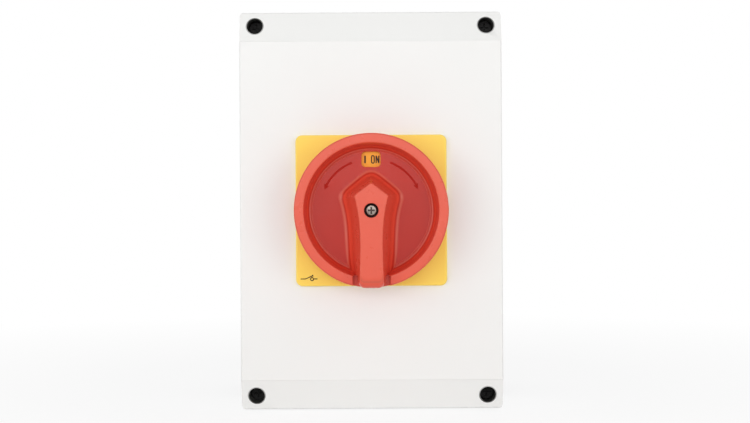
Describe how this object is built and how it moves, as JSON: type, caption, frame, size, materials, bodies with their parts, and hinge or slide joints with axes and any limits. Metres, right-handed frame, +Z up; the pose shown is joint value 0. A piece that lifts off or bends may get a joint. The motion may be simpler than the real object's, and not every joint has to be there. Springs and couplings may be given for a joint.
{
  "type": "rotary isolator switch",
  "caption": "Enclosed rotary isolator switch with a lockable quarter-turn knob on a square locking plate, in a deep wall enclosure with cable knockouts.",
  "frame": {"origin": "on the wall, at the centre of the base's back, behind the knob's axis", "axes": "+X to the right seen from the front, +Y into the wall, +Z up"},
  "size_m": [0.16, 0.163, 0.24],
  "materials": {
    "base_plastic": "finely grained dark moulding",
    "cover_plastic": "finely grained light grey moulding",
    "plate_plastic": "satin yellow moulding",
    "knob_plastic": "satin red moulding",
    "black_plastic": "satin black moulding",
    "slide_plastic": "satin red moulding",
    "seal_rubber": "matt black",
    "gasket_foam": "matt grey foam",
    "steel": "zinc-plated",
    "deck_plastic": "dark grey moulding",
    "latch_plastic": "grey moulding",
    "cam_plastic": "natural white moulding",
    "plunger_plastic": "natural white moulding",
    "copper": "bright copper",
    "silver": "silver contact metal",
    "brass": "bright brass",
    "spring_steel": "spring wire",
    "earth_plastic": "green moulding",
    "neutral_plastic": "blue moulding"
  },
  "bodies": {
    "enclosure": {"base_shell": "base_plastic", "cover_shell": "cover_plastic", "cover_gasket": "gasket_foam", "cover_screws": "black_plastic", "cover_screw_seals": "seal_rubber", "locking_plate": "plate_plastic", "bearing_bush": "black_plastic", "plate_seal": "seal_rubber", "plate_screws": "steel", "mounting_plate": "steel", "mounting_screws": "steel", "rear_housing": "deck_plastic", "contact_deck_rear": "deck_plastic", "contact_deck_front": "deck_plastic", "latch_housing": "latch_plastic", "latch_cover": "steel", "tie_bolts": "steel", "tie_nuts": "steel", "latch_rollers": "steel", "latch_pushers": "plunger_plastic", "latch_springs": "spring_steel", "fixed_contact_tips": "silver", "terminal_clamps": "steel", "terminal_screws": "steel", "earth_terminal_foot": "earth_plastic", "neutral_terminal_foot": "neutral_plastic", "terminal_blocks": "brass", "terminal_block_screws": "steel", "line_contact_1": "copper", "load_contact_1": "copper", "line_contact_2": "copper", "load_contact_2": "copper", "line_contact_3": "copper", "load_contact_3": "copper"},
    "rotor": {"knob": "knob_plastic", "knob_driver": "black_plastic", "shaft_seal": "seal_rubber", "knob_washer": "black_plastic", "knob_screw": "steel", "extension_shaft": "steel", "shaft_coupling": "steel", "coupling_screws": "steel", "cam_shaft": "steel", "cam_rear": "cam_plastic", "cam_front": "cam_plastic", "latch_star": "cam_plastic", "stop_disc": "steel"},
    "lock_slide": {"padlock_slide": "slide_plastic"},
    "pole_1": {"plunger_1": "plunger_plastic", "contact_bridge_1": "copper", "bridge_tips_1": "silver", "contact_spring_1": "spring_steel"},
    "pole_2": {"plunger_2": "plunger_plastic", "contact_bridge_2": "copper", "bridge_tips_2": "silver", "contact_spring_2": "spring_steel"},
    "pole_3": {"plunger_3": "plunger_plastic", "contact_bridge_3": "copper", "bridge_tips_3": "silver", "contact_spring_3": "spring_steel"}
  },
  "joints": [
    {"name": "knob_turn", "type": "hinge", "parent": "enclosure", "child": "rotor", "pos_m": [0, 0, 0], "axis": [0, -1, 0], "range_deg": [0, 90]},
    {"name": "padlock_slide_pull", "type": "slide", "parent": "rotor", "child": "lock_slide", "axis": [0, 0, -1], "range_m": [0, 0.0185]},
    {"name": "pole_1_travel", "type": "slide", "parent": "enclosure", "child": "pole_1", "axis": [-1, 0, 0], "range_m": [0, 0.005], "deforming": ["contact_spring_1"]},
    {"name": "pole_2_travel", "type": "slide", "parent": "enclosure", "child": "pole_2", "axis": [1, 0, 0], "range_m": [0, 0.005], "deforming": ["contact_spring_2"]},
    {"name": "pole_3_travel", "type": "slide", "parent": "enclosure", "child": "pole_3", "axis": [-1, 0, 0], "range_m": [0, 0.005], "deforming": ["contact_spring_3"]}
  ],
  "couplings": [
    {"joint": "pole_1_travel", "follows": "knob_turn", "m_per_rad": 0.003183},
    {"joint": "pole_2_travel", "follows": "knob_turn", "m_per_rad": 0.003183},
    {"joint": "pole_3_travel", "follows": "knob_turn", "m_per_rad": 0.003183}
  ]
}
